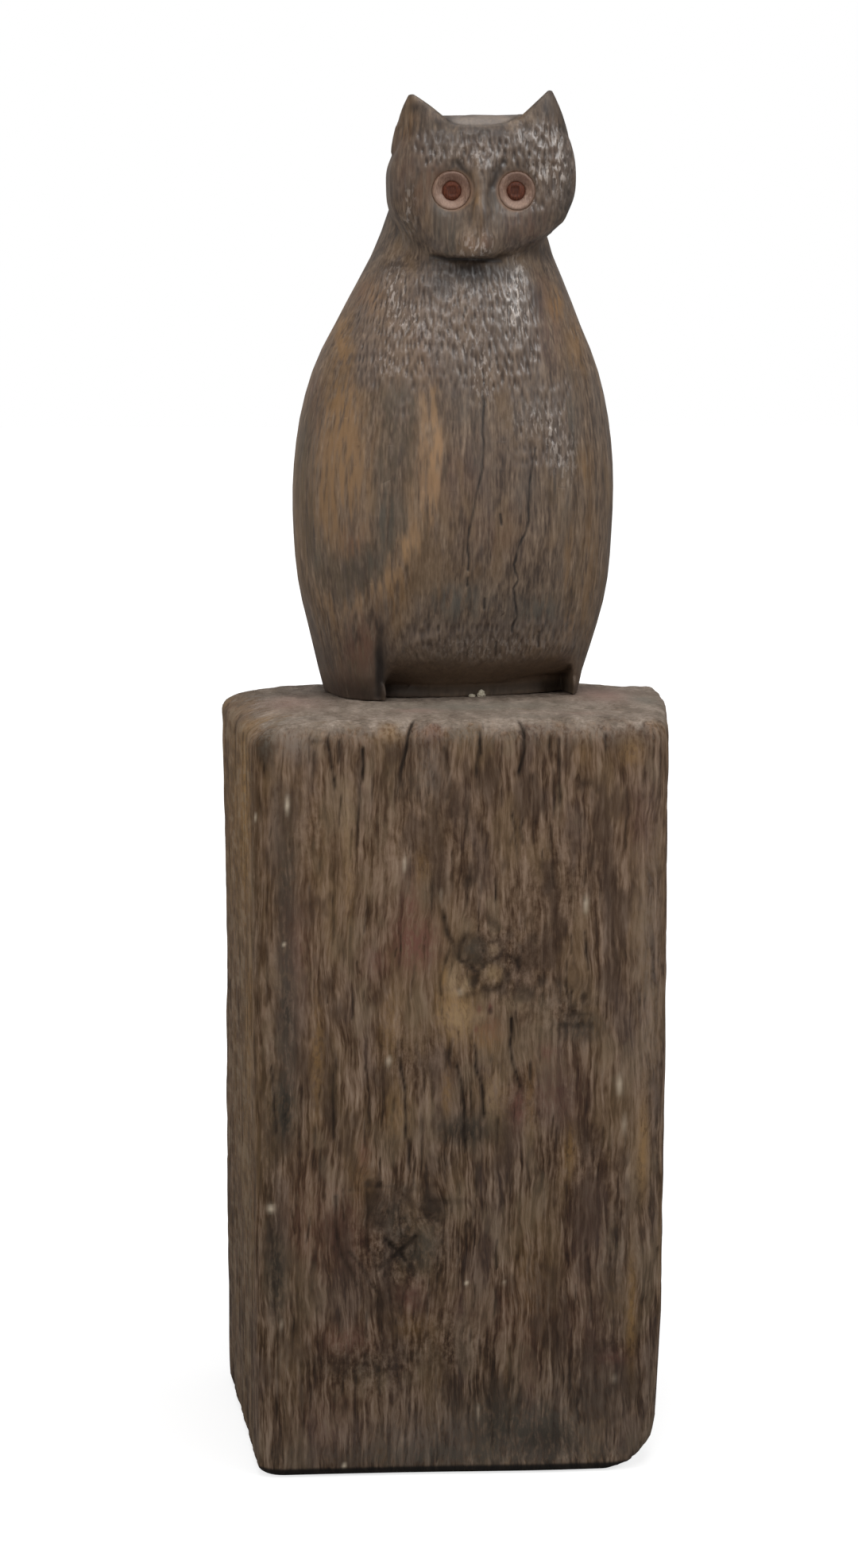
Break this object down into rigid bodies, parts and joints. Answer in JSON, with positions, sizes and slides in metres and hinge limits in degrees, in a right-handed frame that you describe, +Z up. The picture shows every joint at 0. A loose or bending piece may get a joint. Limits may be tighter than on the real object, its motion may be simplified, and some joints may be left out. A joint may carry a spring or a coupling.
{
  "type": "carved cat figure",
  "caption": "Carved wooden cat with inset ring eyes and an undercut belly, standing on a tall weathered timber block; a freestanding ornament.",
  "frame": {"origin": "middle of the block's footprint, on the surface it stands on", "axes": "+Z up; -Y is the front face of the block; +X to the right of a viewer who faces it"},
  "size_m": [0.232, 0.207, 0.6933],
  "materials": {
    "weathered_timber": "raw, weathered, checked grain",
    "waxed_wood": "gouge-marked, waxed to a low sheen",
    "eye_ring": "pale inlay, smooth",
    "pupil": "dark red-brown plug, polished"
  },
  "bodies": {
    "root": {"timber_block": "weathered_timber", "cat_figure": "waxed_wood", "eye_ring_left": "eye_ring", "eye_ring_right": "eye_ring", "pupil_left": "pupil", "pupil_right": "pupil"}
  },
  "joints": []
}
